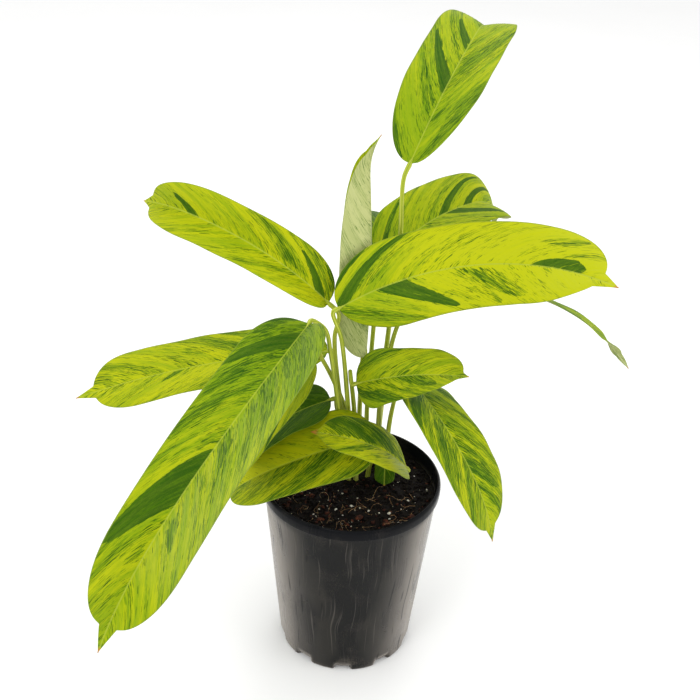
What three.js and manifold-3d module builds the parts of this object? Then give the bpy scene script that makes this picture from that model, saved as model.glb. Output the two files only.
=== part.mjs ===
// Potted ctenanthe: a nursery pot of potting mix with a clump of leaf stalks, each ending in one blade.
// Millimetres, +Z up. The origin is the centre of the pot's flat underside.
import * as THREE from 'three';
import Module from 'manifold-3d';

const wasm = await Module();
wasm.setup();

// ---- driving dimensions ----
const clearance = 0.35;        // gap between neighbouring pieces

const pot = {
  height: 155,
  rimRadius: 70,
  rimHeight: 9,
  rimStep: 2.2,                // how far the rim band stands out from the wall
  baseRadius: 54,
  wall: 1.5,
  floor: 2.4,
  notches: 10,                 // drain notches round the foot
  notchWidth: 13,
  notchHeight: 5,
  notchDepth: 5,
  segments: 48,
};

const soil = {
  drop: 12,                    // from the top of the rim down to the edge of the mix
  mound: 2.5,                  // how much higher the mix is in the middle
};

const plant = {
  growth: 1,                   // size of the plant beside its pot
  drawnForRim: 70,             // rim radius that the stalks and blades below are given for
};

const stalk = {
  footRadius: 2.3,
  neckRadius: 1.5,
  jointRadius: 1.9,            // the swollen joint under the blade
  jointLength: 11,
  buried: 18,
  socketSlack: 0.55,           // how much wider its hole in the mix is than the foot, on the radius
  collar: 3,                   // how far above the mix it stays upright
  sides: 6,
  steps: 12,
};

const blade = {
  thickness: 0.6,
  rows: 14,
  columns: 4,
  endWidth: 0.7,               // width of the blade where it meets the joint and at its point
  roundBase: 0.22,             // share of the length over which the base widens
  taperFrom: 0.62,             // share of the length where the end begins to narrow
  dripTip: 0.07,               // share of the length taken by the narrow point
  dripWidth: 0.2,              // width of the point where it leaves the blade, as a share of the width
  flatBelow: 4,                // half-width under which the fold opens out, so the halves stay apart
  curlFrom: 0.8,               // share of the length where a curled end begins to bend
};

// Each leaf: where its stalk stands, the points it passes, where the blade starts, and how the blade lies.
// Heights are above the edge of the mix.
// heading is turned from +X about +Z, pitch is above the horizontal, roll lifts the left margin, in degrees,
// each given at the base and at the tip; fold lifts both halves from the midrib, curl bends the end
// down and twist turns it.
const leaves = {
  upper_left: {
    foot: [-2, 13], via: [[-10, 10, 64], [-17, 8, 129]], base: [-22, 5, 158],
    heading: [185, 130], pitch: [48, -16], roll: [-42, -60], length: 178, width: 46, fold: 34,
    taperFrom: 0.6,
  },
  big_right: {
    foot: [3.6, 7], via: [[-4, 4, 64], [-12, 1, 132]], base: [-15, -3, 158],
    heading: [10, -55], pitch: [32, 2], roll: [82, 20], length: 210, width: 62, fold: 2,
    taperFrom: 0.72, joint: 4,
  },
  front_left: {
    foot: [-2, 7], via: [[-11, 3, 64], [-19, -1, 119], [-24, -2, 141]], base: [-35, -8, 148],
    heading: [254, 213], pitch: [0, -68], roll: [0, -60], length: 278, width: 58, fold: 26,
    taperFrom: 0.72, joint: 5,
  },
  mid_left: {
    foot: [-2, 25], via: [[-11, 26, 64], [-17, 28, 94]], base: [-22, 28, 106],
    heading: [175, 200], pitch: [-8, -14], roll: [-12, -14], length: 196, width: 60, fold: 6,
    taperFrom: 0.76, joint: 4,
  },
  inner_left: {
    foot: [3.6, 19], via: [[-7, 16, 62], [-17, 14, 89], [-25, 0, 114]], base: [-32, -17, 126],
    heading: [216, 194], pitch: [-42, -62], roll: [2, -14], length: 116, width: 50, fold: 6,
    taperFrom: 0.6, joint: 5,
  },
  dark_left: {
    foot: [-2, 19], via: [[-10, 17, 47], [-14, 15, 65]], base: [-18, 12, 73],
    heading: [190, 190], pitch: [-15, -55], roll: [-10, -5], length: 95, width: 48, fold: 6,
    taperFrom: 0.6, joint: 3,
  },
  small_right: {
    foot: [3.6, 13], via: [[0, 10, 64], [-4.5, 6.5, 102]], base: [0, -3, 97],
    heading: [-15, -30], pitch: [26, 12], roll: [48, 0], length: 90, width: 48, fold: 6,
    taperFrom: 0.66, joint: 3,
  },
  upright: {
    foot: [5, 29], via: [[4, 28, 54], [5, 22, 92]], base: [6, 18, 108],
    heading: [0, 0], pitch: [88, 96], roll: [0, 0], length: 172, width: 50, fold: 70,
    taperFrom: 0.4, curl: 40,
  },
  back_right: {
    foot: [11, 36], via: [[10, 38, 57], [12, 40, 137]], base: [16, 41, 175],
    heading: [55, 30], pitch: [25, -8], roll: [35, 14], length: 146, width: 58, fold: 16,
    taperFrom: 0.8, curlFrom: 0.72, curl: 120, joint: 6,
  },
  back_dark: {
    foot: [5, 42], via: [[4, 48, 57], [5, 50, 119]], base: [6, 52, 145],
    heading: [80, 85], pitch: [45, -35], roll: [0, 0], length: 140, width: 48, fold: 10,
  },
  top: {
    foot: [20, 36], via: [[20, 38, 57], [23, 38, 119], [27, 33, 198]], base: [30, 26, 257],
    heading: [64, 70], pitch: [40, 12], roll: [-3, 8], length: 186, width: 62, fold: 15,
    roundBase: 0.4, taperFrom: 0.7, curlFrom: 0.74, curl: 110,
  },
  far_right: {
    foot: [20, 44], via: [[22, 45, 57], [29, 44, 119], [40, 36, 147]], base: [59, 26, 158],
    heading: [-10, -30], pitch: [26, -48], roll: [-28, -20], length: 154, width: 36, fold: 4,
    taperFrom: 0.6, twist: -75,
  },
  right_drooping: {
    foot: [27, 34], via: [[29, 33, 47], [35, 30, 83]], base: [39, 24, 90],
    heading: [-76, -30], pitch: [16, -80], roll: [-26, 6], length: 160, width: 52, fold: 6,
    taperFrom: 0.66, joint: 5,
  },
  low_front: {
    foot: [13, 13], via: [[17, 7, 33], [23, -6, 55]], base: [17, -15, 61],
    heading: [195, 160], pitch: [-12, -46], roll: [-38, -18], length: 136, width: 56, fold: 5,
    taperFrom: 0.66, joint: 5,
  },
  young_front: {
    foot: [32, 19], via: [[33, 15, 15], [38, -6, 29]], base: [41, -24, 38],
    heading: [215, 175], pitch: [56, 0], roll: [-24, -4], length: 88, width: 42, fold: 8,
    joint: 3,
  },
  seedling: {
    foot: [26, 19], via: [], base: [26, 12, 17],
    heading: [270, 270], pitch: [-25, -50], roll: [0, 0], length: 19, width: 16, fold: 8,
    joint: 2, slim: 0.5,
  },
};

// Loose pieces on the mix: [turn about Z, distance from the axis as a share of the mix's radius,
// length, width, height].
const barkChips = [
  [-118, 0.72, 9, 5, 2.2],
  [-97, 0.85, 7, 4, 2.0],
  [-80, 0.61, 10, 5, 2.4],
  [-58, 0.79, 8, 5, 2.2],
  [-35, 0.87, 7, 5, 2.0],
  [-150, 0.84, 8, 4, 2.0],
  [35, 0.79, 9, 5, 2.2],
  [140, 0.73, 8, 5, 2.2],
];
const perliteGrains = [
  [-88, 0.41, 3, 2.6, 2.2],
  [-66, 0.53, 2.4, 2.2, 2.0],
  [-108, 0.52, 2.6, 2.2, 2.0],
  [-47, 0.67, 3, 2.4, 2.2],
  [-20, 0.72, 2.6, 2.4, 2.0],
  [100, 0.88, 3, 2.6, 2.2],
];

// ---- materials ----
const colours = {
  potPlastic: { color: 0x2b2a2c, roughness: 0.28, metalness: 0 },
  mix: { color: 0x1c1512, roughness: 0.95, metalness: 0 },
  blade: { color: 0xa5b92a, roughness: 0.5, metalness: 0 },
  stalk: { color: 0x8d9a35, roughness: 0.55, metalness: 0 },
  bark: { color: 0x6a3320, roughness: 0.9, metalness: 0 },
  perlite: { color: 0xe9e7e0, roughness: 0.9, metalness: 0 },
};

// ---- helpers ----
const rad = THREE.MathUtils.degToRad;
const lerp = THREE.MathUtils.lerp;
const grow = plant.growth * pot.rimRadius / plant.drawnForRim;

function makeMesh(name, geometry, look) {
  const mesh = new THREE.Mesh(geometry, new THREE.MeshStandardMaterial(look));
  mesh.name = name;
  return mesh;
}

// A closed solid from a list of points and a list of triangles.
function solidFrom(points, triangles) {
  const geometry = new THREE.BufferGeometry();
  geometry.setAttribute('position', new THREE.Float32BufferAttribute(points.flat(), 3));
  geometry.setIndex(triangles.flat());
  geometry.computeVertexNormals();
  return geometry;
}

// A solid of revolution about Z, from a profile of [radius, height] that starts and ends on the axis.
function turned(profile, segments) {
  const outline = new wasm.CrossSection([profile]);
  return outline.revolve(segments);
}

function fromManifold(body) {
  const mesh = body.getMesh();
  const geometry = new THREE.BufferGeometry();
  geometry.setAttribute('position', new THREE.BufferAttribute(new Float32Array(mesh.vertProperties), 3));
  geometry.setIndex(new THREE.BufferAttribute(new Uint32Array(mesh.triVerts), 1));
  geometry.computeVertexNormals();
  return geometry;
}

// ---- pot ----
const wallTopRadius = pot.rimRadius - pot.rimStep;
const wallTopZ = pot.height - pot.rimHeight;

// Radius of the inside of the wall at a height above the underside.
function innerRadius(z) {
  return lerp(pot.baseRadius, wallTopRadius, z / wallTopZ) - pot.wall;
}

function makePot() {
  const lip = 1;
  const profile = [
    [0, 0],
    [pot.baseRadius - 1.5, 0],
    [pot.baseRadius, 1.5],
    [wallTopRadius, wallTopZ],
    [pot.rimRadius - 0.4, wallTopZ + 0.6],
    [pot.rimRadius, wallTopZ + 1.6],
    [pot.rimRadius, pot.height - lip],
    [pot.rimRadius - lip, pot.height],
    [innerRadius(pot.height) + lip, pot.height],
    [innerRadius(pot.height), pot.height - lip],
    [innerRadius(pot.floor), pot.floor],
    [0, pot.floor],
  ];
  let body = turned(profile, pot.segments);
  for (let i = 0; i < pot.notches; i++) {
    const cutter = wasm.Manifold.cube([2 * pot.notchDepth, pot.notchWidth, 2 * pot.notchHeight], true)
      .translate([pot.baseRadius, 0, 0])
      .rotate([0, 0, (i + 0.5) * 360 / pot.notches]);
    body = body.subtract(cutter);
  }
  return makeMesh('pot', fromManifold(body), colours.potPlastic);
}

// ---- potting mix ----
const soilEdgeZ = pot.height - soil.drop;

// Height of the mix at a distance from the axis: highest in the middle, falling as the square of the distance.
function soilTop(radius) {
  const share = radius / innerRadius(soilEdgeZ);
  return soilEdgeZ + soil.mound * (1 - share * share);
}

function makeSoil() {
  const bottom = pot.floor + clearance;
  const edge = innerRadius(soilEdgeZ) - clearance;
  const profile = [[0, bottom], [innerRadius(bottom) - clearance, bottom], [edge, soilEdgeZ]];
  for (const share of [0.75, 0.5, 0.25, 0]) {
    profile.push([edge * share, soilTop(edge * share)]);
  }
  let body = turned(profile, pot.segments);
  for (const leaf of Object.values(leaves)) {
    const radius = stalk.footRadius * grow * (leaf.slim ?? 1) + stalk.socketSlack;
    const socket = wasm.Manifold.cylinder(60, radius, radius, 10)
      .translate([leaf.foot[0] * grow, leaf.foot[1] * grow, soilEdgeZ - stalk.buried - clearance]);
    body = body.subtract(socket);
  }
  return makeMesh('soil', fromManifold(body), colours.mix);
}

// ---- leaves ----
// A point of the plant, given on the mix, in the frame of the pot.
function onMix([x, y, z]) {
  return new THREE.Vector3(x * grow, y * grow, soilEdgeZ + z * grow);
}

// The direction in which a blade runs, and its left and its upward direction, a share of the way along it.
function bladeFrame(leaf, share) {
  const heading = rad(lerp(leaf.heading[0], leaf.heading[1], share));
  const curlFrom = leaf.curlFrom ?? blade.curlFrom;
  const curled = Math.max(share - curlFrom, 0) / (1 - curlFrom);
  const pitch = rad(lerp(leaf.pitch[0], leaf.pitch[1], share) - (leaf.curl ?? 0) * curled ** 1.5);
  const roll = rad(lerp(leaf.roll[0], leaf.roll[1], share) + (leaf.twist ?? 0) * curled ** 1.5);
  const along = new THREE.Vector3(
    Math.cos(pitch) * Math.cos(heading), Math.cos(pitch) * Math.sin(heading), Math.sin(pitch));
  const level = new THREE.Vector3(-Math.sin(heading), Math.cos(heading), 0);
  const up = along.clone().cross(level);
  const left = level.clone().multiplyScalar(Math.cos(roll)).addScaledVector(up, Math.sin(roll));
  const normal = along.clone().cross(left);
  return { along, left, normal };
}

// Half-width of a blade: an elliptical base, an elliptical end, and a narrow point.
function bladeHalfWidth(leaf, share) {
  const taperFrom = leaf.taperFrom ?? blade.taperFrom;
  const taperTo = 1 - blade.dripTip;
  const fromBase = Math.min(share / (leaf.roundBase ?? blade.roundBase), 1);
  const fromEnd = THREE.MathUtils.clamp((share - taperFrom) / (taperTo - taperFrom), 0, 1);
  const oval = Math.sqrt(1 - (1 - fromBase) ** 2) * Math.sqrt(1 - fromEnd ** 2);
  const point = share > 0.6 ? Math.min((1 - share) / blade.dripTip, 2) * blade.dripWidth : 0;
  return Math.max(grow * leaf.width / 2 * Math.max(oval, point), blade.endWidth / 2);
}

function makeBlade(name, leaf) {
  const steps = 4;                       // midrib steps for each row
  const spine = onMix(leaf.base).addScaledVector(bladeFrame(leaf, 0).along, clearance);
  const top = [];
  const under = [];
  for (let row = 0; row <= blade.rows; row++) {
    const share = row / blade.rows;
    const { left, normal } = bladeFrame(leaf, share);
    const half = bladeHalfWidth(leaf, share);
    const lift = rad(leaf.fold) * Math.min(half / blade.flatBelow, 1);
    for (let column = 0; column <= blade.columns; column++) {
      const across = 2 * column / blade.columns - 1;
      const side = Math.sign(across);
      const reach = Math.abs(across) * half;
      const centre = spine.clone()
        .addScaledVector(left, side * reach * Math.cos(lift))
        .addScaledVector(normal, reach * Math.sin(lift));
      const face = normal.clone().multiplyScalar(side ? Math.cos(lift) : 1)
        .addScaledVector(left, -side * Math.sin(lift));
      top.push(centre.clone().addScaledVector(face, blade.thickness / 2).toArray());
      under.push(centre.clone().addScaledVector(face, -blade.thickness / 2).toArray());
    }
    for (let step = 0; step < steps; step++) {
      const middle = (row + (step + 0.5) / steps) / blade.rows;
      spine.addScaledVector(bladeFrame(leaf, middle).along, grow * leaf.length / blade.rows / steps);
    }
  }
  return makeMesh(`leaf_${name}`, sheetSolid(top, under, blade.rows, blade.columns), colours.blade);
}

// A closed solid between two grids of points, the first above the second, each row from right to left.
function sheetSolid(top, under, rows, columns) {
  const width = columns + 1;
  const shift = top.length;
  const triangles = [];
  const quad = (a, b, c, d) => triangles.push([a, b, c], [a, c, d]);
  for (let row = 0; row < rows; row++) {
    for (let column = 0; column < columns; column++) {
      const a = row * width + column;
      const b = a + width;
      quad(a, b, b + 1, a + 1);
      quad(shift + a, shift + a + 1, shift + b + 1, shift + b);
    }
    const right = row * width;
    const left = right + columns;
    quad(right, shift + right, shift + right + width, right + width);
    quad(left, left + width, shift + left + width, shift + left);
  }
  for (let column = 0; column < columns; column++) {
    const start = column;
    const end = rows * width + column;
    quad(start, start + 1, shift + start + 1, shift + start);
    quad(end, shift + end, shift + end + 1, end + 1);
  }
  return solidFrom([...top, ...under], triangles);
}

// A stalk: upright in the mix, then through its points, with a swollen joint in line with the blade.
function makeStalk(name, leaf) {
  const [x, y] = leaf.foot;
  const base = onMix(leaf.base);
  const jointLength = grow * (leaf.joint ?? stalk.jointLength);
  const joint = base.clone().addScaledVector(bladeFrame(leaf, 0).along, -jointLength);
  const curve = new THREE.CatmullRomCurve3([
    new THREE.Vector3(x * grow, y * grow, soilEdgeZ - stalk.buried),
    onMix([x, y, stalk.collar]),
    ...leaf.via.map(onMix),
    joint,
    base,
  ], false, 'centripetal');
  const length = curve.getLength();
  const { normals, binormals } = curve.computeFrenetFrames(stalk.steps);
  const points = [];
  const triangles = [];
  for (let step = 0; step <= stalk.steps; step++) {
    const share = step / stalk.steps;
    const swell = Math.max(1 - (1 - share) * length / (grow * stalk.jointLength), 0);
    const radius = grow * (leaf.slim ?? 1) * (lerp(stalk.footRadius, stalk.neckRadius, share)
      + (stalk.jointRadius - stalk.neckRadius) * swell);
    const centre = curve.getPointAt(share);
    for (let side = 0; side < stalk.sides; side++) {
      const turn = 2 * Math.PI * side / stalk.sides;
      points.push(centre.clone()
        .addScaledVector(normals[step], radius * Math.cos(turn))
        .addScaledVector(binormals[step], radius * Math.sin(turn)).toArray());
    }
  }
  for (let step = 0; step < stalk.steps; step++) {
    for (let side = 0; side < stalk.sides; side++) {
      const a = step * stalk.sides + side;
      const b = step * stalk.sides + (side + 1) % stalk.sides;
      triangles.push([a, b, b + stalk.sides], [a, b + stalk.sides, a + stalk.sides]);
    }
  }
  const last = stalk.steps * stalk.sides;
  for (let side = 1; side < stalk.sides - 1; side++) {
    triangles.push([0, side + 1, side], [last, last + side, last + side + 1]);
  }
  return makeMesh(`stalk_${name}`, solidFrom(points, triangles), colours.stalk);
}

// ---- loose pieces on the mix ----
function makeCrumb(name, [turn, share, length, width, height], look) {
  const distance = share * (innerRadius(soilEdgeZ) - clearance);
  const geometry = new THREE.IcosahedronGeometry(0.5, 0);
  geometry.scale(length, width, height);
  geometry.rotateZ(rad(3 * turn));
  const angle = rad(turn);
  geometry.translate(
    distance * Math.cos(angle), distance * Math.sin(angle), soilTop(distance) + clearance + height / 2);
  return makeMesh(name, geometry, look);
}

// ---- assembly ----
const object = new THREE.Group();
object.name = 'potted_ctenanthe';
object.add(makePot(), makeSoil());
for (const [name, leaf] of Object.entries(leaves)) {
  object.add(makeStalk(name, leaf), makeBlade(name, leaf));
}
barkChips.forEach((chip, i) => object.add(makeCrumb(`bark_${i + 1}`, chip, colours.bark)));
perliteGrains.forEach((grain, i) => object.add(makeCrumb(`perlite_${i + 1}`, grain, colours.perlite)));

export default object;
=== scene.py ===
# Potted ctenanthe: a nursery pot of potting mix, and a clump of stalks that each carry one variegated blade.
# Metres, +Z up, the origin is the centre of the pot's flat underside. Leaf values are in millimetres.
import math

import bmesh
import bpy
import numpy as np
from mathutils import Matrix, Vector


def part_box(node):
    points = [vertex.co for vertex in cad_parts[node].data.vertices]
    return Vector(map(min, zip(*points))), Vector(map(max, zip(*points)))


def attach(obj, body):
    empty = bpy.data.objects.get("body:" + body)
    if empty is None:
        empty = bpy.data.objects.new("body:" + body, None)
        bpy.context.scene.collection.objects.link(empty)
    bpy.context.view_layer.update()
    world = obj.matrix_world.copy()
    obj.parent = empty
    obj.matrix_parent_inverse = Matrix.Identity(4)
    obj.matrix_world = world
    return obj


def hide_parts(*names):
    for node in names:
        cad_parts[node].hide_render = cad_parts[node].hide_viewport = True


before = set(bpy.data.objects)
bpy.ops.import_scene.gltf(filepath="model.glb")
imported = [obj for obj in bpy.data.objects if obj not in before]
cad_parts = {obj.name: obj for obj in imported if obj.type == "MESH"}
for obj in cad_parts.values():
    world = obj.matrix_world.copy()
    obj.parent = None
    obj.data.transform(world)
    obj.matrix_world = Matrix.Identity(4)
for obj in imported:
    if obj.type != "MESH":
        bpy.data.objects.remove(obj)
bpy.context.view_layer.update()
millimetre = 0.001
print("stage: frame loaded,", len(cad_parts), "nodes")


# camera
cameraSet = {
    "place": (0.0, -0.6367, 0.6193),
    "lookAt": (-0.0053, 0.0, 0.2665),
    "lean": -2.48,      # degrees that the camera leans to its side
    "lens": 51.43,
    "sensor": 36.0,
}


def addObject(name, data):
    made = bpy.data.objects.new(name, data)
    bpy.context.scene.collection.objects.link(made)
    return made


def makeCamera(values):
    # upright axes round the line of sight, then turned about it by the lean
    place = Vector(values["place"])
    forward = (Vector(values["lookAt"]) - place).normalized()
    level = forward.cross(Vector((0, 0, 1))).normalized()
    steep = level.cross(forward)
    lean = math.radians(values["lean"])
    up = steep * math.cos(lean) + level * math.sin(lean)
    across = forward.cross(up)
    data = bpy.data.cameras.new("camera")
    data.lens = values["lens"]
    data.sensor_width = values["sensor"]
    data.clip_start, data.clip_end = 0.01, 100
    camera = addObject("camera", data)
    camera.matrix_world = Matrix((
        (across.x, up.x, -forward.x, place.x),
        (across.y, up.y, -forward.y, place.y),
        (across.z, up.z, -forward.z, place.z),
        (0, 0, 0, 1),
    ))
    bpy.context.scene.camera = camera


makeCamera(cameraSet)


# numpy helpers
def mixed(first, second, share):
    return first + (second - first) * share


def smooth(share):
    return share * share * (3 - 2 * share)


def eased(value, low, high):
    # 0 below low, 1 above high, and 3t^2 - 2t^3 between them
    return smooth(np.clip((value - low) / (high - low), 0, 1))


def softNoise(x, y, seed, cells=64):
    # random values on whole-number corners, blended over each cell by the eased share; 0 to 1
    table = np.random.default_rng(seed).random((cells, cells))
    column, row = np.floor(x).astype(int), np.floor(y).astype(int)
    shareX, shareY = smooth(x - column), smooth(y - row)

    def corner(i, j):
        return table[(column + i) % cells, (row + j) % cells]

    near = mixed(corner(0, 0), corner(1, 0), shareX)
    far = mixed(corner(0, 1), corner(1, 1), shareX)
    return mixed(near, far, shareY)


def unit(vectors):
    return vectors / np.linalg.norm(vectors, axis=-1, keepdims=True)


def joined(*values):
    # numbers and arrays spread to one shape, then set side by side on a last axis
    return np.stack(np.broadcast_arrays(*values), -1)


def travelled(path):
    # the distance along a path of points to each of them, from 0
    return np.concatenate([[0], np.cumsum(np.linalg.norm(np.diff(path, axis=0), axis=1))])


def fullTurn(sides):
    return np.linspace(0, math.tau, sides, endpoint=False)


def turnedAboutZ(radius, z, turn):
    return joined(radius * np.cos(turn), radius * np.sin(turn), z)


# mesh helpers
def buildMesh(name, points, quads=None, triangles=None, maps=None, fields=None, slots=None):
    # points and faces go in as whole arrays; maps hold a UV per point or per face corner, fields a value per point
    sheets = [np.asarray(part) for part in (quads, triangles) if part is not None and len(part)]
    corners = np.concatenate([part.ravel() for part in sheets])
    sizes = np.concatenate([np.full(len(part), part.shape[1]) for part in sheets])
    mesh = bpy.data.meshes.new(name)
    mesh.vertices.add(len(points))
    mesh.vertices.foreach_set("co", np.asarray(points, np.float32).ravel())
    mesh.loops.add(len(corners))
    mesh.loops.foreach_set("vertex_index", corners.astype(np.int32))
    mesh.polygons.add(len(sizes))
    mesh.polygons.foreach_set("loop_start", np.concatenate([[0], np.cumsum(sizes)[:-1]]).astype(np.int32))
    mesh.update(calc_edges=True)
    mesh.polygons.foreach_set("use_smooth", np.ones(len(sizes), bool))
    if slots is not None:
        mesh.polygons.foreach_set("material_index", np.asarray(slots, np.int32))
    for label, values in (maps or {}).items():
        values = np.asarray(values, np.float32)
        if len(values) == len(points):
            values = values[corners]
        mesh.uv_layers.new(name=label).data.foreach_set("uv", values.ravel())
    for label, values in (fields or {}).items():
        field = mesh.attributes.new(label, "FLOAT", "POINT").data
        field.foreach_set("value", np.asarray(values, np.float32).ravel())
    mesh.update()
    return mesh


def addPiece(name, mesh, materials, nodes=()):
    # the piece sits at the origin, with its place in its mesh
    piece = addObject(name, mesh)
    for material in materials:
        mesh.materials.append(material)
    if nodes:
        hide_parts(*nodes)
    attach(piece, "root")
    return piece


def wrappedSurface(name, rings, firstPole, lastPole, fields=None):
    # rings of points, anticlockwise about the way they run, joined round and along and closed at both ends;
    # the map "around" is (share round, distance along in tenths of a metre)
    count, sides = rings.shape[:2]
    number = np.arange(count * sides).reshape(count, sides)
    following = np.roll(number, -1, axis=1)
    quads = joined(number[:-1], following[:-1], following[1:], number[1:]).reshape(-1, 4)
    starts = joined(number.size, following[0], number[0])
    ends = joined(number.size + 1, number[-1], following[-1])
    points = np.concatenate([rings.reshape(-1, 3), [firstPole], [lastPole]])
    travel = travelled(rings[:, 0]) * 10
    low, high = travel[:-1, None], travel[1:, None]
    here = np.arange(sides) / sides
    middle, there = here + 0.5 / sides, here + 1 / sides
    around = (
        np.stack([joined(here, low), joined(there, low), joined(there, high), joined(here, high)], 2),
        np.stack([joined(turn, travel[0]) for turn in (middle, there, here)], 1),
        np.stack([joined(turn, travel[-1]) for turn in (middle, here, there)], 1),
    )
    allFields = {label: np.concatenate([values.ravel(), values[0, :1], values[-1, :1]])
                 for label, values in (fields or {}).items()}
    return buildMesh(name, points, quads, np.concatenate([starts, ends]),
                     {"around": np.concatenate([part.reshape(-1, 2) for part in around])}, allFields)


# node helpers: a value is a number, a colour or another node's socket, and a socket knows its tree
def fillSockets(made, sockets):
    for key, value in sockets.items():
        if isinstance(value, bpy.types.NodeSocket):
            made.id_data.links.new(value, made.inputs[key])
        else:
            made.inputs[key].default_value = value


def addNode(tree, kind, sockets=None, **settings):
    made = tree.nodes.new("ShaderNode" + kind)
    for key, value in settings.items():
        setattr(made, key, value)
    fillSockets(made, sockets or {})
    return made


def calc(operation, *values):
    tree = next(value for value in values if isinstance(value, bpy.types.NodeSocket)).id_data
    return addNode(tree, "Math", dict(enumerate(values)), operation=operation).outputs[0]


def times(first, second):
    return calc("MULTIPLY", first, second)


def ramped(value, low, high, toLow=0.0, toHigh=1.0):
    sockets = {"Value": value, "From Min": low, "From Max": high, "To Min": toLow, "To Max": toHigh}
    return addNode(value.id_data, "MapRange", sockets, interpolation_type="SMOOTHSTEP").outputs["Result"]


def mixColours(share, first, second, most=None):
    # most is the share of the second colour where share is 1
    share = share if most is None else times(share, most)
    return addNode(share.id_data, "Mix", {0: share, 6: first, 7: second}, data_type="RGBA").outputs[2]


def textureNoise(vector, scale, detail, **more):
    sockets = {"Vector": vector, "Scale": scale, "Detail": detail, **more}
    return addNode(vector.id_data, "TexNoise", sockets).outputs[0]


def newGroup(name, inputs, outputs):
    # inputs hold a label, a kind and perhaps a default; outputs a label and a kind
    tree = bpy.data.node_groups.new(name, "ShaderNodeTree")
    for label, kind, *default in inputs:
        socket = tree.interface.new_socket(label, in_out="INPUT", socket_type="NodeSocket" + kind)
        if default:
            socket.default_value = default[0]
    for label, kind in outputs:
        tree.interface.new_socket(label, in_out="OUTPUT", socket_type="NodeSocket" + kind)
    enter = tree.nodes.new("NodeGroupInput").outputs
    leave = tree.nodes.new("NodeGroupOutput")
    return tree, enter, leave


def useGroup(group, sockets):
    return addNode(sockets["Vector"].id_data, "Group", sockets, node_tree=group).outputs


def newMaterial(name, **shaderValues):
    # the constants are set on the shader's own sockets
    material = bpy.data.materials.new(name)
    material.use_nodes = True
    tree = material.node_tree
    shader = tree.nodes["Principled BSDF"]
    for key, value in shaderValues.items():
        shader.inputs[key.replace("_", " ")].default_value = value
    return material, tree, shader


def finishShader(shader, shade, roughness, height, strength, distance):
    # colour, roughness, and a bump whose full height is the distance in metres
    bump = addNode(shader.id_data, "Bump", {"Height": height, "Strength": strength, "Distance": distance}).outputs[0]
    fillSockets(shader, {"Base Color": shade, "Roughness": roughness, "Normal": bump})


def colour(red, green, blue):
    # screen values 0 to 255 to linear light
    return tuple(
        (v / 255 / 12.92 if v <= 10 else ((v / 255 + 0.055) / 1.055) ** 2.4) for v in (red, green, blue)
    ) + (1.0,)


# shared node groups
def makeStretchedNoise():
    # noise pulled out along the second coordinate; each scale is in cells for a tenth of a metre
    tree, enter, leave = newGroup(
        "stretchedNoise",
        [("Vector", "Vector"), ("Across", "Float", 30.0), ("Along", "Float", 3.0), ("Seed", "Float", 0.0)],
        [("Value", "Float")])
    split = addNode(tree, "SeparateXYZ", {0: enter["Vector"]}).outputs
    stretched = {0: times(split[0], enter["Across"]), 1: times(split[1], enter["Along"]), 2: enter["Seed"]}
    vector = addNode(tree, "CombineXYZ", stretched).outputs[0]
    fillSockets(leave, {"Value": textureNoise(vector, 1.0, 1.2, Roughness=0.5)})
    return tree


stretchedNoise = makeStretchedNoise()


def streaks(vector, across, along, seed):
    return useGroup(stretchedNoise, {"Vector": vector, "Across": across, "Along": along, "Seed": seed})[0]


def makeGrain():
    # two sizes of even noise, for plastic, mix, bark and perlite
    tree, enter, leave = newGroup(
        "grain",
        [("Vector", "Vector"), ("Coarse", "Float", 200.0), ("Fine", "Float", 900.0)],
        [("Value", "Float"), ("Spots", "Float")])
    coarse = textureNoise(enter["Vector"], enter["Coarse"], 4.0)
    fine = textureNoise(enter["Vector"], enter["Fine"], 2.0)
    value = calc("ADD", times(coarse, 0.65), times(fine, 0.35))
    fillSockets(leave, {"Value": value, "Spots": ramped(fine, 0.62, 0.7)})
    return tree


variegationLook = {
    "noises": {     # cells across and along for a tenth of a metre, and the seed
        "broad": (8, 2.2, 1.3), "golden": (14, 2.6, 21.4), "medium": (30, 6, 4.1), "dash": (84, 19, 11.9),
        "other": (96, 20, 31.2), "fine": (150, 28, 7.7), "speck": (190, 60, 15.2),
    },
    # the sum of noises at which each colour starts to show, and shows fully
    "patch": (2.7, 3.5), "gold": (1.1, 1.9), "green": (2.92, 3.04), "deep": (3.18, 3.25), "inDeep": (0.85, 1.2),
    "greenShare": 0.7, "deepShare": 0.94, "inDeepShare": 0.4,
}


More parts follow.
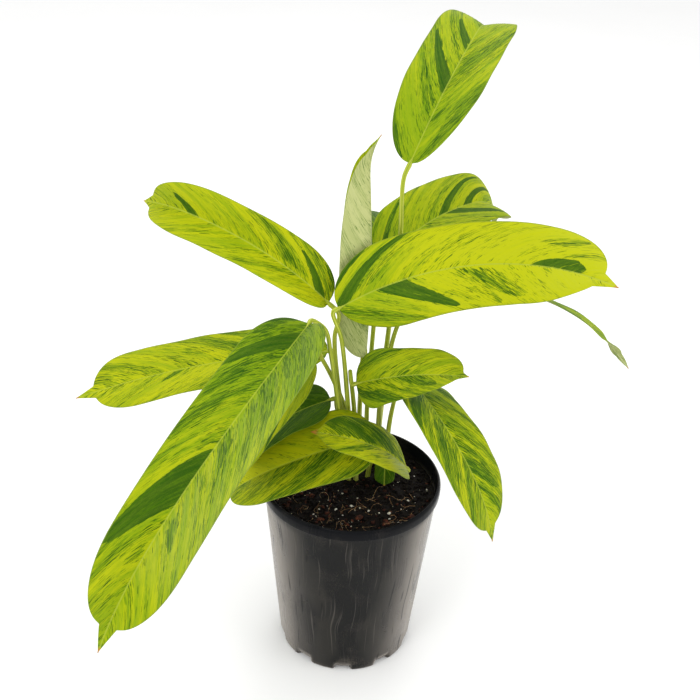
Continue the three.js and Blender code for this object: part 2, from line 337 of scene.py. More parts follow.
def makeVariegation(look):
    # a lime ground turning to gold, then green dashes, then deep green streaks and patches, all drawn out along the
    # side veins; a patch's edge is its distance field frayed by the streaks
    tree, enter, leave = newGroup(
        "variegation",
        [("Vector", "Vector"), ("Dark", "Float", 0.2), ("Gold", "Float", 0.5), ("Patch", "Float", -9.0),
         ("Strength", "Float", 0.0), ("Lime Colour", "Color"), ("Gold Colour", "Color"),
         ("Green Colour", "Color"), ("Deep Colour", "Color")],
        [("Color", "Color")])
    noise = {label: streaks(enter["Vector"], *values) for label, values in look["noises"].items()}

    def shown(label, first, **weights):
        # a weighed sum of noises on top of the first value, through the colour's ramp
        total = first
        for key, weight in weights.items():
            total = calc("MULTIPLY_ADD", noise[key], weight, total)
        return ramped(total, *look[label])

    inPatch = times(shown("patch", enter["Patch"], fine=3.0, medium=3.2), enter["Strength"])
    darkness = calc("ADD", enter["Dark"], inPatch)
    deep = shown("deep", times(darkness, 1.2), broad=1.3, dash=2.4, fine=1.6)
    green = shown("green", times(darkness, 1.6), broad=1.6, other=2.4, speck=1.0)
    gold = shown("gold", enter["Gold"], golden=1.2, fine=0.8)
    inDeep = shown("inDeep", noise["medium"], speck=1.0)
    ground = mixColours(gold, enter["Lime Colour"], enter["Gold Colour"])
    tinted = mixColours(green, ground, enter["Green Colour"], look["greenShare"])
    deepTone = mixColours(inDeep, enter["Deep Colour"], enter["Green Colour"], look["inDeepShare"])
    fillSockets(leave, {"Color": mixColours(deep, tinted, deepTone, look["deepShare"])})
    return tree


def makeFineVeins():
    # a sine of the vein coordinate for the parallel veins, and a narrow band at the midrib
    tree, enter, leave = newGroup(
        "fineVeins",
        [("Vector", "Vector"), ("Spacing", "Float", 0.013), ("Rib Width", "Float", 0.007)],
        [("Height", "Float"), ("Rib", "Float")])
    split = addNode(tree, "SeparateXYZ", {0: enter["Vector"]}).outputs
    wave = calc("SINE", calc("DIVIDE", times(split[0], math.tau), enter["Spacing"]))
    uneven = streaks(enter["Vector"], 40.0, 6.0, 3.3)
    height = calc("MULTIPLY_ADD", times(wave, uneven), 0.5, times(uneven, 0.6))
    lateral = calc("DIVIDE", calc("ABSOLUTE", split[1]), enter["Rib Width"])
    fillSockets(leave, {"Height": height, "Rib": ramped(lateral, 0.35, 1.0, 1.0, 0.0)})
    return tree


grain = makeGrain()
variegation = makeVariegation(variegationLook)
fineVeins = makeFineVeins()


# blade materials
bladeColours = {
    "top": {
        "lime": colour(128, 154, 6), "gold": colour(176, 182, 8), "green": colour(88, 126, 2),
        "deep": colour(28, 74, 2), "rib": colour(164, 178, 60), "margin": colour(132, 152, 52),
        "dry": colour(176, 104, 40), "paintedSheen": colour(158, 174, 104),
    },
    "under": {
        "lime": colour(170, 178, 112), "gold": colour(188, 192, 130), "green": colour(138, 154, 84),
        "deep": colour(92, 118, 54), "rib": colour(200, 206, 154), "margin": colour(160, 172, 104),
        "dry": colour(166, 124, 70), "paintedSheen": colour(190, 196, 146),
    },
}
bladeLook = {"specular": 0.07, "ribShare": 0.62, "veinShare": 0.16, "marginShare": 0.6, "bump": 0.35}


def makeBladeMaterial(name, colours, roughness, veinDepth):
    material, tree, shader = newMaterial(name, Specular_IOR_Level=bladeLook["specular"])
    veins = addNode(tree, "UVMap", uv_map="veins").outputs[0]
    across = addNode(tree, "SeparateXYZ", {0: addNode(tree, "UVMap", uv_map="sheet").outputs[0]}).outputs[1]
    fields = {label: addNode(tree, "Attribute", attribute_name=label).outputs["Fac"]
              for label in ("dark", "gold", "patch", "strength", "dry", "paintedSheen")}
    sockets = {label.title(): fields[label] for label in ("dark", "gold", "patch", "strength")}
    sockets |= {label.title() + " Colour": colours[label] for label in ("lime", "gold", "green", "deep")}
    pattern = useGroup(variegation, {"Vector": veins, **sockets})
    lines = useGroup(fineVeins, {"Vector": veins})
    height = lines["Height"]
    shade = mixColours(ramped(height, 0.15, 0.75), pattern["Color"], colours["rib"], bladeLook["veinShare"])
    shade = mixColours(lines["Rib"], shade, colours["rib"], bladeLook["ribShare"])
    edge = ramped(calc("ABSOLUTE", calc("MULTIPLY_ADD", across, 2.0, -1.0)), 0.965, 0.995)
    shade = mixColours(edge, shade, colours["margin"], bladeLook["marginShare"])
    # painted sheen: a pale grey-green laid over one half of some blades, strongest on the raised veins, standing in for
    # light glancing off the surface
    shade = mixColours(fields["paintedSheen"], shade, colours["paintedSheen"], ramped(height, 0.0, 0.7))
    shade = mixColours(fields["dry"], shade, colours["dry"])
    matt = ramped(height, 0.0, 0.9, roughness + 0.1, roughness - 0.06)
    finishShader(shader, shade, matt, height, bladeLook["bump"], veinDepth)
    return material


bladeTop = makeBladeMaterial("bladeTop", bladeColours["top"], 0.46, 0.0004)
bladeUnder = makeBladeMaterial("bladeUnder", bladeColours["under"], 0.58, 0.0005)


# stalk material
stalkColours = {
    "skin": colour(158, 172, 40), "light": colour(196, 202, 80), "dark": colour(94, 116, 16),
    "foot": colour(176, 182, 92),
}


def makeStalkMaterial(colours):
    material, tree, shader = newMaterial("stalkSkin", Specular_IOR_Level=0.2)
    around = addNode(tree, "UVMap", uv_map="around").outputs[0]
    foot = addNode(tree, "Attribute", attribute_name="foot").outputs["Fac"]
    broad, narrow = streaks(around, 7.0, 1.4, 2.0), streaks(around, 22.0, 3.0, 5.0)
    shade = mixColours(ramped(broad, 0.42, 0.6), colours["skin"], colours["light"])
    shade = mixColours(ramped(narrow, 0.5, 0.64), shade, colours["dark"], 0.8)
    shade = mixColours(foot, shade, colours["foot"], ramped(narrow, 0.62, 0.4))
    finishShader(shader, shade, ramped(narrow, 0.3, 0.7, 0.4, 0.6), narrow, 0.5, 0.0003)
    return material


stalkSkin = makeStalkMaterial(stalkColours)
print("stage: plant materials made")


# pot
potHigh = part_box("pot")[1]
potShape = {
    "height": potHigh.z, "rimRadius": potHigh.x, "rimHeight": 0.009, "rimStep": 0.0022, "baseRadius": 0.054,
    "wall": 0.0015, "floor": 0.0024, "recess": 0.0012, "recessRadius": 0.03,
    "notches": 10, "notchWidth": 0.013, "notchHeight": 0.005, "notchDepth": 0.005, "sides": 240, "longestStep": 0.003,
}


def innerRadius(z):
    wallTop = potShape["rimRadius"] - potShape["rimStep"]
    share = z / (potShape["height"] - potShape["rimHeight"])
    return mixed(potShape["baseRadius"], wallTop, share) - potShape["wall"]


def smoothProfile(corners, radii, steps=5):
    # each corner is rounded by a quadratic curve between points its radius away on either side
    corners = np.asarray(corners, float)
    path = [corners[:1]]
    share = np.linspace(0, 1, steps)[:, None]
    for before, corner, after, radius in zip(corners[:-2], corners[1:-1], corners[2:], radii):
        start = corner + unit(before - corner) * min(radius, np.linalg.norm(before - corner) / 2)
        end = corner + unit(after - corner) * min(radius, np.linalg.norm(after - corner) / 2)
        path.append((1 - share) ** 2 * start + 2 * share * (1 - share) * corner + share ** 2 * end)
    path.append(corners[-1:])
    return np.concatenate(path)


def spread(path, longest):
    # the same profile with points no further apart than longest
    travel = travelled(path)
    counts = np.maximum(np.ceil(np.linalg.norm(np.diff(path, axis=0), axis=1) / longest).astype(int), 1)
    spans = [np.linspace(travel[i], travel[i + 1], n, endpoint=False) for i, n in enumerate(counts)]
    places = np.concatenate(spans + [travel[-1:]])
    return joined(*(np.interp(places, travel, path[:, k]) for k in (0, 1)))


def makePot(values):
    # a profile turned about Z; the foot goes in and up where a drain notch is, by the eased distance from its middle
    height, rim = values["height"], values["rimRadius"]
    wallTopZ, wallTop = height - values["rimHeight"], rim - values["rimStep"]
    inside, insideFloor, recess = innerRadius(height), innerRadius(values["floor"]), values["recess"]
    # out under the base and up the outer wall, over the rim, and down the inside; a rounding radius for each corner
    corners = [
        (0, recess), (values["recessRadius"], recess), (values["recessRadius"] + 0.0035, 0), (values["baseRadius"], 0),
        (wallTop, wallTopZ), (rim - 0.0003, wallTopZ + 0.0004), (rim, wallTopZ + 0.003), (rim, height - 0.002),
        (rim - 0.0012, height), (inside + 0.0006, height), (inside, height - 0.0016),
        (insideFloor, values["floor"]), (0, values["floor"]),
    ]
    radii = [0.001, 0.001, 0.0018, 0.0012, 0.0004, 0.0012, 0.0010, 0.0008, 0.0005, 0.0007, 0.003]
    profile = spread(smoothProfile(corners, radii), values["longestStep"])[1:-1]
    turn = fullTurn(values["sides"])
    radius = np.repeat(profile[:, :1], len(turn), axis=1)
    z = np.repeat(profile[:, 1:], len(turn), axis=1)
    outside = np.arange(len(profile))[:, None] < np.argmax(profile[:, 0]) + 1
    pitch = math.tau / values["notches"]
    fromNotch = np.abs((turn / pitch) % 1 - 0.5) * pitch * values["baseRadius"]
    across = 1 - eased(fromNotch, values["notchWidth"] / 2 - 0.001, values["notchWidth"] / 2 + 0.001)
    upward = 1 - eased(z, values["notchHeight"] - 0.0012, values["notchHeight"] + 0.0004)
    outward = eased(radius, values["baseRadius"] - values["notchDepth"] - 0.002, values["baseRadius"] - 0.001)
    radius = radius - outside * values["notchDepth"] * across[None, :] * upward * outward
    return wrappedSurface("pot", turnedAboutZ(radius, z, turn), (0, 0, recess), (0, 0, values["floor"]))


potLook = {
    "body": colour(12, 12, 11), "smear": colour(38, 36, 32), "mark": colour(4, 4, 4), "dust": colour(96, 88, 80),
    # the pale colour below is a painted reflection at the wall's edges, and also the colour of the pale scratches
    "sheenAndScratch": colour(143, 136, 128), "rim": colour(14, 15, 18),
    "sheenFrom": 0.38, "sheenTo": 0.82,       # how far the wall turns from the eye before its painted sheen shows, and shows fully
    "drift": 0.035,                         # how far the scratches wander round the wall
    "noises": {     # cells across and along for a tenth of a metre, and the seed
        "drift": (7.0, 1.6, 9.0), "smear": (16.0, 1.6, 1.0), "scratch": (300.0, 1.4, 6.0), "mark": (90.0, 2.0, 4.0),
    },
    "wallSheen": 0.16, "rimSheen": 0.07, "bump": 0.22, "bumpDepth": 0.0004,
}


def makePotMaterial(name, look, sheen):
    # scratches and smears run up the wall; a painted sheen, a pale painted reflection, shows where it turns from the
    # eye, up to the rim's lower edge
    material, tree, shader = newMaterial(name, Specular_IOR_Level=sheen)
    around = addNode(tree, "UVMap", uv_map="around").outputs[0]
    place = addNode(tree, "TexCoord").outputs["Object"]
    z = addNode(tree, "SeparateXYZ", {0: place}).outputs[2]
    drift = addNode(tree, "CombineXYZ", {0: times(streaks(around, *look["noises"]["drift"]), look["drift"])}).outputs[0]
    bent = addNode(tree, "VectorMath", {0: around, 1: drift}, operation="ADD").outputs[0]
    smear, scratch, mark = (streaks(bent, *look["noises"][label]) for label in ("smear", "scratch", "mark"))
    rough = useGroup(grain, {"Vector": place, "Coarse": 60.0, "Fine": 900.0})["Value"]
    facing = addNode(tree, "LayerWeight", {"Blend": 0.5}).outputs["Facing"]
    # the painted sheen: a pale colour laid on where the wall turns from the eye, streaked by the smears, a painted
    # reflection kept off the band under the rim
    shown = times(ramped(facing, look["sheenFrom"], look["sheenTo"]), ramped(smear, 0.3, 0.62, 0.65, 1.0))
    rimFoot = potShape["height"] - potShape["rimHeight"]
    below = ramped(z, rimFoot - 0.009, rimFoot, 1.0, 0.0)
    shade = mixColours(ramped(smear, 0.45, 0.66), look["body"], look["smear"], 0.8)
    shade = mixColours(shown, shade, look["sheenAndScratch"], below)
    shade = mixColours(ramped(mark, 0.62, 0.68), shade, look["mark"], 0.75)
    shade = mixColours(ramped(scratch, 0.62, 0.72), shade, look["sheenAndScratch"], 0.16)
    shade = mixColours(ramped(z, rimFoot - 0.0015, rimFoot), shade, look["rim"])
    low = ramped(z, 0.0, 0.03, 1.0, 0.0)
    dust = times(ramped(rough, 0.5, 0.68), calc("MULTIPLY_ADD", low, 0.35, 0.1))
    shade = mixColours(dust, shade, look["dust"])
    gloss = calc("MULTIPLY_ADD", ramped(scratch, 0.5, 0.68), 0.14, ramped(smear, 0.35, 0.65, 0.2, 0.36))
    height = calc("MULTIPLY_ADD", scratch, 0.5, times(rough, 0.6))
    finishShader(shader, shade, calc("MULTIPLY_ADD", dust, 0.5, gloss), height, look["bump"], look["bumpDepth"])
    return material


potMesh = makePot(potShape)
heights = np.array([face.center.z for face in potMesh.polygons])
onRim = heights > potShape["height"] - potShape["rimHeight"] - 0.001
potMesh.polygons.foreach_set("material_index", onRim.astype(np.int32))
potMaterials = [makePotMaterial("potPlastic", potLook, potLook["wallSheen"]),
                makePotMaterial("potRim", potLook, potLook["rimSheen"])]
addPiece("nurseryPot", potMesh, potMaterials, ["pot"])
print("stage: pot made")


# stalks and blades: where each stalk stands, the points it passes, where its blade starts and how the blade lies.
# Heights are above the edge of the mix. heading is turned from +X about +Z, pitch is above the horizontal and roll
# lifts the left margin, in degrees; these, dark and gold each hold a value at the base and one at the tip. The sheen
# entry
# is (side, most, share of the length where it ends): a pale grey-green painted over that half as a painted sheen. A
# patch is (side, its two ends along the midrib as shares of the length, its two ends outward as shares of the half
# width, strength), and side is 1 for the left half.
soilDrop = 0.012
soilEdge = potShape["height"] - soilDrop
leafSet = {
    "upper_left": dict(
        foot=(-2, 13), via=[(-10, 10, 64), (-17, 8, 129)], base=(-22, 5, 158),
        heading=(185, 130), pitch=(48, -16), roll=(-42, -60), length=178, width=46, fold=34, taperFrom=0.6,
        dark=(0.2, 0.08), gold=(0.75, 0.6),
        patches=[(-1, 0.02, 0.08, 0.0, 0.8, 1.0), (-1, 0.64, 0.7, 0.0, 0.65, 1.0),
                 (-1, 0.1, 0.3, 0.15, 1.0, 0.22), (-1, -0.16, -0.05, 0.5, 1.0, 0.3)],
    ),
    "big_right": dict(
        foot=(3.6, 7), via=[(-4, 4, 64), (-12, 1, 132)], base=(-15, -3, 158),
        heading=(10, -55), pitch=(32, 2), roll=(82, 20), length=210, width=62, fold=2, taperFrom=0.72, joint=4,
        dark=(0.1, -0.02), gold=(0.4, 1.0),
        patches=[(1, -0.03, 0.04, 0.03, 1.1, 1.0), (1, -0.16, -0.08, 0.3, 1.1, 0.95),
                 (1, -0.28, -0.2, 0.5, 1.1, 0.9), (-1, 0.14, 0.25, 0.0, 0.9, 1.0),
                 (1, 0.68, 0.86, 0.0, 0.3, 1.0), (-1, 0.38, 0.6, 0.1, 0.8, 0.25),
                 (-1, 0.26, 0.42, 0.5, 0.95, 0.25), (1, 0.05, 0.14, 0.2, 1.1, 0.25),
                 (1, 0.55, 0.64, 0.55, 0.95, 0.3), (-1, -0.1, 0.12, 0.2, 1.0, 0.12)],
    ),
    "front_left": dict(
        foot=(-2, 7), via=[(-11, 3, 64), (-19, -1, 119), (-24, -2, 141)], base=(-35, -8, 148),
        heading=(254, 213), pitch=(0, -68), roll=(0, -60), length=278, width=58, fold=26, taperFrom=0.72, joint=5,
        dark=(0.3, 0.14), gold=(0.05, 0.42), paintedSheen=(1, 0.34, 0.7),
        patches=[(-1, 0.05, 0.13, 0.0, 1.05, 1.0), (-1, -0.3, 0.02, 0.7, 1.1, 0.4),
                 (-1, 0.46, 0.62, 0.0, 1.02, 1.0), (-1, 0.14, 0.36, 0.5, 1.1, 0.16),
                 (1, 0.12, 0.45, 0.1, 0.8, 0.1), (-1, 0.7, 0.74, 0.1, 0.4, 0.35),
                 (1, 0.6, 0.65, 0.15, 0.5, 0.4)],
    ),
    "mid_left": dict(
        foot=(-2, 25), via=[(-11, 26, 64), (-17, 28, 94)], base=(-22, 28, 106),
        heading=(175, 200), pitch=(-8, -14), roll=(-12, -14), length=196, width=60, fold=6, taperFrom=0.76,
        joint=4,
        dark=(0.22, 0.15), gold=(0.45, 0.68),
        patches=[(-1, 0.0, 0.5, 0.35, 1.1, 0.14), (1, 0.56, 0.6, 0.05, 0.4, 0.6)],
    ),
    "inner_left": dict(
        foot=(3.6, 19), via=[(-7, 16, 62), (-17, 14, 89), (-25, 0, 114)], base=(-32, -17, 126),
        heading=(216, 194), pitch=(-42, -62), roll=(2, -14), length=116, width=50, fold=6, taperFrom=0.6, joint=5,
        dark=(0.14, 0.14), gold=(0.5, 0.5),
        patches=[(1, 0.1, 0.22, 0.1, 1.1, 0.9), (-1, 0.0, 0.3, 0.3, 1.0, 0.2)],
    ),
    "dark_left": dict(
        foot=(-2, 19), via=[(-10, 17, 47), (-14, 15, 65)], base=(-18, 12, 73),
        heading=(190, 190), pitch=(-15, -55), roll=(-10, -5), length=95, width=48, fold=6, taperFrom=0.6, joint=3,
        dark=(0.8, 0.8), gold=(0.2, 0.2),
    ),
    "small_right": dict(
        foot=(3.6, 13), via=[(0, 10, 64), (-4.5, 6.5, 102)], base=(0, -3, 97),
        heading=(-15, -30), pitch=(26, 12), roll=(48, 0), length=90, width=48, fold=6, taperFrom=0.66, joint=3,
        dark=(0.25, 0.25), gold=(0.45, 0.6),
        patches=[(-1, -0.2, 0.1, 0.4, 1.1, 0.35), (-1, 0.36, 0.62, 0.0, 0.7, 0.25),
                 (1, -0.3, 0.0, 0.5, 1.0, 0.2)],
    ),
    "upright": dict(
        foot=(5, 29), via=[(4, 28, 54), (5, 22, 92)], base=(6, 18, 108),
        heading=(0, 0), pitch=(88, 96), roll=(0, 0), length=172, width=50, fold=70, taperFrom=0.4, curl=40,
        arch=-4,
        dark=(0.16, 0.1), gold=(0.3, 0.5),
    ),
    "back_right": dict(
        foot=(11, 36), via=[(10, 38, 57), (12, 40, 137)], base=(16, 41, 175),
        heading=(55, 30), pitch=(25, -8), roll=(35, 14), length=146, width=58, fold=16,
        taperFrom=0.8, curlFrom=0.72, curl=120, joint=6,
        dark=(0.18, 0.1), gold=(0.4, 0.5),
        patches=[(1, 0.46, 0.53, 0.0, 0.95, 1.0), (1, 0.64, 0.7, 0.0, 0.8, 0.95),
                 (-1, 0.5, 0.6, 0.0, 0.95, 0.9), (1, -0.05, 0.02, 0.25, 1.0, 0.7)],
    ),
    "back_dark": dict(
        foot=(5, 42), via=[(4, 48, 57), (5, 50, 119)], base=(6, 52, 145),
        heading=(80, 85), pitch=(45, -35), roll=(0, 0), length=140, width=48, fold=10,
        dark=(0.62, 0.62), gold=(0.3, 0.3),
    ),
    "top": dict(
        foot=(20, 36), via=[(20, 38, 57), (23, 38, 119), (27, 33, 198)], base=(30, 26, 257),
        heading=(64, 70), pitch=(40, 12), roll=(-3, 8), length=186, width=62, fold=15,
        roundBase=0.4, taperFrom=0.7, curlFrom=0.74, curl=110,
        dark=(0.22, 0.16), gold=(0.2, 0.4),
        patches=[(1, 0.34, 0.44, 0.0, 0.9, 1.0), (1, 0.6, 0.67, 0.03, 0.55, 0.95),
                 (-1, -0.08, 0.16, 0.5, 1.05, 0.25), (-1, 0.18, 0.21, 0.1, 0.3, 0.6),
                 (1, 0.2, 0.28, 0.1, 0.9, 0.22), (1, -0.14, -0.04, 0.5, 1.05, 0.35),
                 (-1, 0.44, 0.52, 0.1, 1.0, 0.2)],
    ),
    "far_right": dict(
        foot=(20, 44), via=[(22, 45, 57), (29, 44, 119), (40, 36, 147)], base=(59, 26, 158),
        heading=(-10, -30), pitch=(26, -48), roll=(-28, -20), length=154, width=36, fold=4, taperFrom=0.6,
        twist=-75,
        dark=(0.4, 0.3), gold=(0.2, 0.3),
    ),
    "right_drooping": dict(
        foot=(27, 34), via=[(29, 33, 47), (35, 30, 83)], base=(39, 24, 90),
        heading=(-76, -30), pitch=(16, -80), roll=(-26, 6), length=160, width=52, fold=6, taperFrom=0.66, joint=5,
        dark=(0.36, 0.27), gold=(0.4, 0.6),
        patches=[(-1, 0.02, 0.2, 0.0, 1.0, 0.5), (1, -0.1, 0.05, 0.2, 1.1, 0.3),
                 (1, 0.46, 0.66, 0.0, 0.8, 0.25), (-1, 0.3, 0.5, 0.3, 1.0, 0.2)],
    ),
    # dark below zero lightens this blade: painted light, offsetting the shade that the leaves above cast on it
    "low_front": dict(
        foot=(13, 13), via=[(17, 7, 33), (23, -6, 55)], base=(17, -15, 61),
        heading=(195, 160), pitch=(-12, -46), roll=(-38, -18), length=136, width=56, fold=5, taperFrom=0.66,
        joint=5,
        dark=(-0.02, -0.02), gold=(0.7, 0.8),
        patches=[(1, -0.4, 1.0, 0.04, 3.0, 0.36)],
    ),
    "young_front": dict(
        foot=(32, 19), via=[(33, 15, 15), (38, -6, 29)], base=(41, -24, 38),
        heading=(215, 175), pitch=(56, 0), roll=(-24, -4), length=88, width=42, fold=8, joint=3,
        dark=(0.24, 0.24), gold=(0.95, 0.95), dryTip=0.03, paintedSheen=(1, 0.9, 0.2),
        patches=[(-1, 0.0, 0.75, 0.08, 2.0, 0.42)],
    ),
    "seedling": dict(
        foot=(26, 19), via=[], base=(26, 12, 17),
        heading=(270, 270), pitch=(-25, -50), roll=(0, 0), length=19, width=16, fold=8, joint=2, slim=0.5,
        dark=(0.85, 0.85), gold=(0.1, 0.1),
    ),
}
bladeShape = {
    "thickness": 0.5, "rowStep": 1.2, "columns": 36, "endWidth": 0.7, "roundBase": 0.22, "taperFrom": 0.62,
    "dripTip": 0.07, "dripWidth": 0.2, "curlFrom": 0.8, "flatBelow": 4, "clearance": 0.35,
    "crowding": 1.3,        # above 1 the columns stand closer at the midrib
    "crease": 3.0,          # distance from the midrib over which a half lifts to its fold
    "arch": 9.0,            # degrees that each half is bowed between the midrib and the margin
    "quilt": 0.22,          # height of the swells between side veins
    "quiltSpacing": 7.0,
    "ripple": 0.45,         # height of the waves along the margin
    "drift": 1.4,           # height of the slow unevenness, growing outward
    "groove": 0.4, "grooveReach": 0.7,      # depth and half width of the midrib's groove above
    "rib": 0.8, "ribReach": 0.8,            # height and half width of the midrib beneath
    "leanAtRib": 1.15, "leanAtMargin": 0.75,    # how far the side veins run towards the tip
}
stalkShape = {
    "footRadius": 2.3, "neckRadius": 1.5, "jointRadius": 1.9, "jointLength": 11, "buried": 18, "collar": 3,
    "rings": 90, "sides": 28, "ribs": 9, "ribDepth": 0.05, "runOut": 9, "endRadius": 0.25,
    "waver": 0.05, "opening": 0.22,         # shares of the radius
}


def bladeFrame(leaf, share):
    # heading, pitch and roll go evenly from base to tip, with the curl and the twist added over the last part
    curlFrom = leaf.get("curlFrom", bladeShape["curlFrom"])
    curled = np.clip((share - curlFrom) / (1 - curlFrom), 0, None) ** 1.5
    heading = np.radians(mixed(*leaf["heading"], share))
    pitch = np.radians(mixed(*leaf["pitch"], share) - leaf.get("curl", 0) * curled)
    roll = np.radians(mixed(*leaf["roll"], share) + leaf.get("twist", 0) * curled)
    along = np.stack([np.cos(pitch) * np.cos(heading), np.cos(pitch) * np.sin(heading), np.sin(pitch)], -1)
    level = np.stack([-np.sin(heading), np.cos(heading), heading * 0], -1)
    up = np.cross(along, level)
    left = level * np.cos(roll)[..., None] + up * np.sin(roll)[..., None]
    return along, left, np.cross(along, left), level


def bladeHalfWidth(leaf, share):
    # an elliptical base times an elliptical end, and a narrow point
    taperFrom = leaf.get("taperFrom", bladeShape["taperFrom"])
    fromBase = np.clip(share / leaf.get("roundBase", bladeShape["roundBase"]), 0, 1)
    fromEnd = np.clip((share - taperFrom) / (1 - bladeShape["dripTip"] - taperFrom), 0, 1)
    oval = np.sqrt(1 - (1 - fromBase) ** 2) * np.sqrt(1 - fromEnd ** 2)
    point = np.where(share > 0.6, np.clip((1 - share) / bladeShape["dripTip"], 0, 2) * bladeShape["dripWidth"], 0)
    return np.maximum(leaf["width"] / 2 * np.maximum(oval, point), bladeShape["endWidth"] / 2)


def onMix(point):
    return np.array([point[0], point[1], soilEdge / millimetre + point[2]], float)


def makeBlade(name, leaf, seed):
    # a closed thin sheet: the midrib is the running sum of its direction, each half leaves it at the fold angle eased
    # over the crease and bowed by the arch, and swells, waves, groove and rib move it along its own normal
    shape = bladeShape
    rows = int(leaf["length"] / shape["rowStep"])
    share = np.linspace(0, 1, rows + 1)
    along, left, normal = bladeFrame(leaf, share)[:3]
    step = leaf["length"] / rows
    between = bladeFrame(leaf, (share[:-1] + share[1:]) / 2)[0]
    start = onMix(leaf["base"]) + along[0] * shape["clearance"]
    spine = start + np.concatenate([np.zeros((1, 3)), np.cumsum(between * step, axis=0)])
    half = bladeHalfWidth(leaf, share)[:, None]
    columns = shape["columns"] // 2
    spaced = (np.arange(columns + 1) / columns) ** shape["crowding"]
    reach = half * spaced
    middle = (reach[:, 1:] + reach[:, :-1]) / 2
    opened = np.minimum(half / shape["flatBelow"], 1)
    arch = math.radians(leaf.get("arch", shape["arch"])) * opened

    def liftAt(distance):
        folded = math.radians(leaf["fold"]) * opened * np.tanh(distance / shape["crease"])
        return folded + arch * (1 - 2 * distance / half) * np.tanh(distance)

    def summed(steps):
        return np.concatenate([np.zeros((rows + 1, 1)), np.cumsum(steps * np.diff(reach), axis=1)], 1)

    out, rise = summed(np.cos(liftAt(middle))), summed(np.sin(liftAt(middle)))
    lift = liftAt(reach)
    order = np.abs(np.arange(-columns, columns + 1))
    side = np.sign(np.arange(-columns, columns + 1))
    across = side * spaced[order]
    out, rise, lift, lateral = (values[:, order] for values in (out, rise, lift, reach))
    centre = spine[:, None] + left[:, None] * (side * out)[..., None] + normal[:, None] * rise[..., None]
    face = normal[:, None] * np.cos(lift)[..., None] - left[:, None] * (side * np.sin(lift))[..., None]
    distance = (share * leaf["length"])[:, None] + lateral * 0
    vein = distance - lateral * shape["leanAtRib"] - lateral ** 2 / np.maximum(half, 6) * shape["leanAtMargin"]
    wide = np.minimum(half / 12, 1)
    fade = np.abs(across) ** 0.6 * (1 - np.abs(across) ** 5) * wide
    bend = 0.5 * softNoise(vein / 24, side + 0 * vein, seed)
    swell = shape["quilt"] * np.sin(math.tau * (vein / shape["quiltSpacing"] + bend)) * fade
    wave = np.sin(math.tau * (2.3 * share[:, None] + 0.37 * seed + 0.21 * side))
    wave = wave + 0.5 * np.sin(math.tau * (5.1 * share[:, None] + 0.61 * seed - 0.33 * side))
    wave = shape["ripple"] * wave * np.abs(across) ** 4 * wide
    drift = softNoise(distance / 26 + seed, side * lateral / 18 + 9, seed + 40) - 0.5
    drift = drift * shape["drift"] * np.abs(across) * wide
    skin = shape["thickness"] * (0.5 - 0.3 * np.abs(across) ** 8)
    grooved = shape["groove"] * wide * np.exp(-(lateral / shape["grooveReach"]) ** 2)
    ribbed = shape["rib"] * mixed(1.0, 0.3, share)[:, None] * np.minimum(half / 3, 1)
    ribbed = ribbed * np.exp(-(lateral / shape["ribReach"]) ** 2)
    top = centre + face * (skin + swell + wave + drift - grooved)[..., None]
    under = centre + face * (-skin + swell + wave + drift - ribbed)[..., None]
    width = len(across)
    number = np.arange((rows + 1) * width).reshape(rows + 1, width)
    lower = number + number.size

    def strip(*corners):
        return joined(*corners).reshape(-1, 4)

    topQuads = strip(number[:-1, :-1], number[1:, :-1], number[1:, 1:], number[:-1, 1:])
    underQuads = strip(lower[:-1, :-1], lower[:-1, 1:], lower[1:, 1:], lower[1:, :-1])
    rims = [
        strip(number[:-1, 0], lower[:-1, 0], lower[1:, 0], number[1:, 0]),
        strip(number[:-1, -1], number[1:, -1], lower[1:, -1], lower[:-1, -1]),
        strip(number[0, :-1], number[0, 1:], lower[0, 1:], lower[0, :-1]),
        strip(number[-1, :-1], lower[-1, :-1], lower[-1, 1:], number[-1, 1:]),
    ]
    quads = np.concatenate([topQuads, underQuads] + rims)
    slots = np.zeros(len(quads))
    slots[len(topQuads):len(topQuads) + len(underQuads)] = 1
    maps = {"veins": joined(vein / 100 + 3.7 * seed, side * lateral / 100),
            "sheet": joined(share[:, None], 0.5 + 0.5 * across)}
    maps = {label: np.concatenate([values.reshape(-1, 2)] * 2) for label, values in maps.items()}
    tones = bladeTones(leaf, share, side * lateral, half, vein)
    tones = {label: np.concatenate([values.ravel()] * 2) for label, values in tones.items()}
    points = np.concatenate([top.reshape(-1, 3), under.reshape(-1, 3)]) * millimetre
    return buildMesh(name, points, quads, None, maps, tones, slots)


def bladeTones(leaf, share, lateral, half, vein):
    # fields over the blade: how dark, golden and dry it is, how strong its painted sheen is, and for the deep green
    # patches the millimetres inside the nearest one and its strength; a patch lies between two side veins and narrows
    # outward as a half ellipse
    patch = np.full(vein.shape, -9.0)
    strength = np.zeros(vein.shape)
    for side, low, high, inner, outer, depth in leaf.get("patches", ()):
        reach = (side * lateral / half - inner) / (outer - inner)
        slim = np.sqrt(1 - np.clip(reach, 0, 1) ** 2)
        beside = slim * (high - low) / 2 * leaf["length"] - np.abs(vein - (low + high) / 2 * leaf["length"])
        inside = np.minimum(beside, side * lateral - inner * half) - np.clip(reach - 1, 0, None) * half * 0.4
        strength = np.where(inside > patch, depth, strength)
        patch = np.maximum(patch, inside)
    tip = leaf.get("dryTip", 0.006)
    sheenSide, sheenMost, sheenEnd = leaf.get("paintedSheen", (1, 0, 1))
    sheenAlong = 1 - eased(share, sheenEnd, sheenEnd + 0.15)
    alongOnly = {
        "dark": mixed(*leaf["dark"], eased(share, 0.1, 0.7)), "gold": mixed(*leaf["gold"], eased(share, 0.1, 0.5)),
        "dry": eased(share, 1 - 2 * tip - 0.006, 1 - tip) * 0.8,
    }
    tones = {label: values[:, None] + np.zeros(vein.shape) for label, values in alongOnly.items()}
    # the painted sheen: a pale tint on one half, fading out past its end along the blade
    paintedSheen = sheenAlong[:, None] * eased(sheenSide * lateral, -1, 4) * sheenMost
    return {**tones, "patch": np.clip(patch, -9, 9), "strength": strength, "paintedSheen": paintedSheen}


